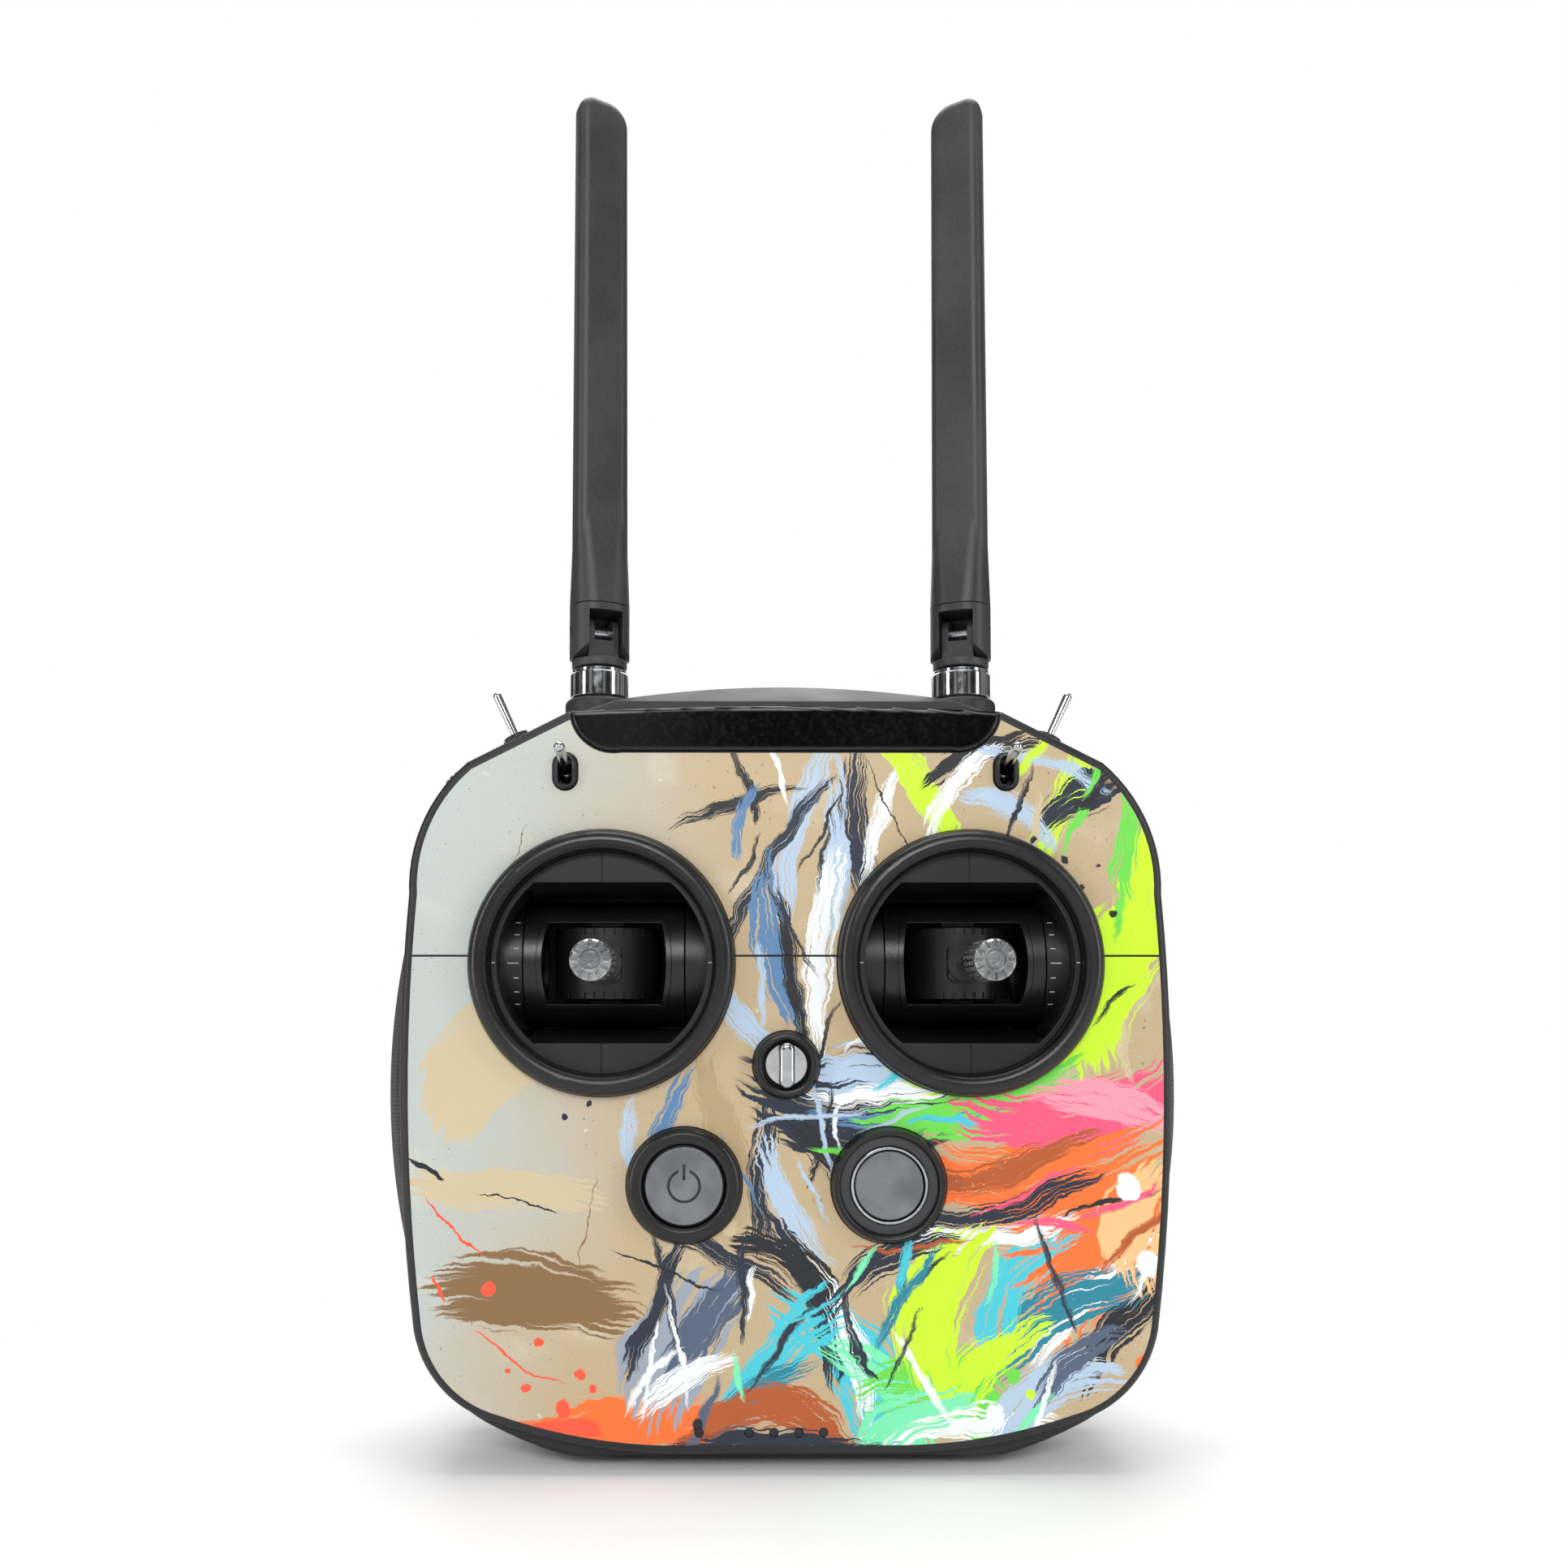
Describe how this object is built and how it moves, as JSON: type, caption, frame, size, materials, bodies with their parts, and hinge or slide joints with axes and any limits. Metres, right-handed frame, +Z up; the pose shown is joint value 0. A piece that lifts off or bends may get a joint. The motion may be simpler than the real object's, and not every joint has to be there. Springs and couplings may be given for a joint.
{
  "type": "radio transmitter controller",
  "caption": "Hand-held drone controller with sprung control sticks, folding swivel antennas, toggle switches, round buttons, a mode knob and a printed vinyl skin.",
  "frame": {"origin": "on the flat foot that it stands on, in the middle plane", "axes": "+Z up along the antennas, -Y the face with the sticks, +X to the right of someone looking at the sticks"},
  "size_m": [0.194, 0.087, 0.3415],
  "materials": {
    "shell_black": "fine spark texture",
    "panel_black": "high gloss",
    "skin_print": "satin laminated vinyl with an abstract paint pattern",
    "grip_rubber": "fine diagonal weave",
    "rim_black": "satin",
    "gimbal_black": "satin",
    "scale_white": "printed",
    "head_metal": "knurled, bead blasted",
    "steel": "turned",
    "chrome_bright": "polished",
    "button_grey": "satin",
    "ring_dark": "satin",
    "board_green": "solder mask",
    "battery_wrap": "shrink wrap",
    "brass_insert": "turned",
    "light_dark": "smoked light pipe, unlit",
    "antenna_black": "fine spark texture"
  },
  "bodies": {
    "case": {"front_shell": "shell_black", "rear_shell": "shell_black", "top_panel": "panel_black", "skin_upper": "skin_print", "skin_lower": "skin_print", "left_grip_pad": "grip_rubber", "right_grip_pad": "grip_rubber", "battery_door": "shell_black", "battery_pack": "battery_wrap", "main_board": "board_green", "case_screws": "steel", "bracket_inserts": "brass_insert", "charge_socket": "steel", "status_lights": "light_dark", "mode_knob_bezel": "rim_black", "power_bezel": "rim_black", "home_bezel": "rim_black", "home_light_ring": "ring_dark", "home_trim_ring": "chrome_bright", "front_toggle_switches": "rim_black", "shoulder_toggle_bushings": "chrome_bright", "antenna_sockets": "antenna_black", "antenna_nuts": "chrome_bright", "gimbal_scales": "scale_white", "left_gimbal_bezel": "rim_black", "left_gimbal_cover": "gimbal_black", "left_gimbal_frame": "gimbal_black", "right_gimbal_bezel": "rim_black", "right_gimbal_cover": "gimbal_black", "right_gimbal_frame": "gimbal_black"},
    "left_stick_cradle": {"left_gimbal_cradle": "gimbal_black"},
    "left_stick": {"left_gimbal_core": "gimbal_black", "left_stick_shaft": "steel", "left_stick_locknut": "head_metal", "left_stick_head": "head_metal"},
    "left_front_toggle": {"left_front_toggle": "chrome_bright"},
    "left_shoulder_toggle": {"left_shoulder_toggle": "chrome_bright"},
    "left_shoulder_button": {"left_shoulder_button": "ring_dark"},
    "left_rear_button": {"left_rear_button": "ring_dark"},
    "left_antenna_base": {"left_antenna_knuckle": "antenna_black"},
    "left_antenna": {"left_antenna_pin": "steel", "left_antenna_sleeve": "antenna_black", "left_antenna_blade": "antenna_black"},
    "right_stick_cradle": {"right_gimbal_cradle": "gimbal_black"},
    "right_stick": {"right_gimbal_core": "gimbal_black", "right_stick_shaft": "steel", "right_stick_locknut": "head_metal", "right_stick_head": "head_metal"},
    "right_front_toggle": {"right_front_toggle": "chrome_bright"},
    "right_shoulder_toggle": {"right_shoulder_toggle": "chrome_bright"},
    "right_shoulder_button": {"right_shoulder_button": "ring_dark"},
    "right_rear_button": {"right_rear_button": "ring_dark"},
    "right_antenna_base": {"right_antenna_knuckle": "antenna_black"},
    "right_antenna": {"right_antenna_pin": "steel", "right_antenna_sleeve": "antenna_black", "right_antenna_blade": "antenna_black"},
    "power_button": {"power_button": "button_grey"},
    "home_button": {"home_button": "button_grey"},
    "mode_knob": {"mode_knob": "chrome_bright"},
    "control_wheel": {"control_wheel": "head_metal"}
  },
  "joints": [
    {"name": "left_stick_up_down", "type": "hinge", "parent": "case", "child": "left_stick_cradle", "pos_m": [-0.043, 0.0015, 0.118], "axis": [1, 0, 0], "range_deg": [-25, 25], "stiffness_Nm_per_rad": 0.2},
    {"name": "left_stick_left_right", "type": "hinge", "parent": "left_stick_cradle", "child": "left_stick", "pos_m": [-0.043, 0.0015, 0.118], "axis": [0, 0, 1], "range_deg": [-25, 25], "stiffness_Nm_per_rad": 0.2},
    {"name": "left_front_toggle_flip", "type": "hinge", "parent": "case", "child": "left_front_toggle", "pos_m": [-0.0517, -0.016, 0.1628], "axis": [1, 0, 0], "range_deg": [0, 24]},
    {"name": "left_shoulder_toggle_flip", "type": "hinge", "parent": "case", "child": "left_shoulder_toggle", "pos_m": [-0.06451, -0.005, 0.17191], "axis": [0.9063, 0, 0.4226], "range_deg": [-15, 15]},
    {"name": "left_shoulder_button_press", "type": "slide", "parent": "case", "child": "left_shoulder_button", "axis": [0.4226, 0, -0.9063], "range_m": [0, 0.0008], "stiffness_N_per_m": 900},
    {"name": "left_rear_button_press", "type": "slide", "parent": "case", "child": "left_rear_button", "axis": [0, -1, 0], "range_m": [0, 0.001], "stiffness_N_per_m": 900},
    {"name": "left_antenna_swivel", "type": "hinge", "parent": "case", "child": "left_antenna_base", "pos_m": [-0.0461, 0.008, 0.192], "axis": [0, 0, -1], "range_deg": [-20, 180]},
    {"name": "left_antenna_fold", "type": "hinge", "parent": "left_antenna_base", "child": "left_antenna", "pos_m": [-0.0461, 0.008, 0.2025], "axis": [0.9272, 0.3746, 0], "range_deg": [0, 90]},
    {"name": "right_stick_up_down", "type": "hinge", "parent": "case", "child": "right_stick_cradle", "pos_m": [0.043, 0.0015, 0.118], "axis": [1, 0, 0], "range_deg": [-25, 25], "stiffness_Nm_per_rad": 0.2},
    {"name": "right_stick_left_right", "type": "hinge", "parent": "right_stick_cradle", "child": "right_stick", "pos_m": [0.043, 0.0015, 0.118], "axis": [0, 0, 1], "range_deg": [-25, 25], "stiffness_Nm_per_rad": 0.2},
    {"name": "right_front_toggle_flip", "type": "hinge", "parent": "case", "child": "right_front_toggle", "pos_m": [0.0517, -0.016, 0.1628], "axis": [1, 0, 0], "range_deg": [0, 24]},
    {"name": "right_shoulder_toggle_flip", "type": "hinge", "parent": "case", "child": "right_shoulder_toggle", "pos_m": [0.06451, -0.005, 0.17191], "axis": [0.9063, 0, -0.4226], "range_deg": [-15, 15]},
    {"name": "right_shoulder_button_press", "type": "slide", "parent": "case", "child": "right_shoulder_button", "axis": [-0.4226, 0, -0.9063], "range_m": [0, 0.0008], "stiffness_N_per_m": 900},
    {"name": "right_rear_button_press", "type": "slide", "parent": "case", "child": "right_rear_button", "axis": [0, -1, 0], "range_m": [0, 0.001], "stiffness_N_per_m": 900},
    {"name": "right_antenna_swivel", "type": "hinge", "parent": "case", "child": "right_antenna_base", "pos_m": [0.0461, 0.008, 0.192], "axis": [0, 0, 1], "range_deg": [-20, 180]},
    {"name": "right_antenna_fold", "type": "hinge", "parent": "right_antenna_base", "child": "right_antenna", "pos_m": [0.0461, 0.008, 0.2025], "axis": [0.9272, -0.3746, 0], "range_deg": [0, 90]},
    {"name": "power_button_press", "type": "slide", "parent": "case", "child": "power_button", "axis": [0, 1, 0], "range_m": [0, 0.0012], "stiffness_N_per_m": 1000},
    {"name": "home_button_press", "type": "slide", "parent": "case", "child": "home_button", "axis": [0, 1, 0], "range_m": [0, 0.0012], "stiffness_N_per_m": 1000},
    {"name": "mode_knob_turn", "type": "hinge", "parent": "case", "child": "mode_knob", "pos_m": [0, -0.018, 0.0943], "axis": [0, 1, 0], "range_deg": [-30, 30]},
    {"name": "control_wheel_turn", "type": "hinge", "parent": "case", "child": "control_wheel", "pos_m": [-0.0745, -0.0052, 0.1572], "axis": [0, 1, 0], "range_deg": [-25, 25], "stiffness_Nm_per_rad": 0.03}
  ]
}
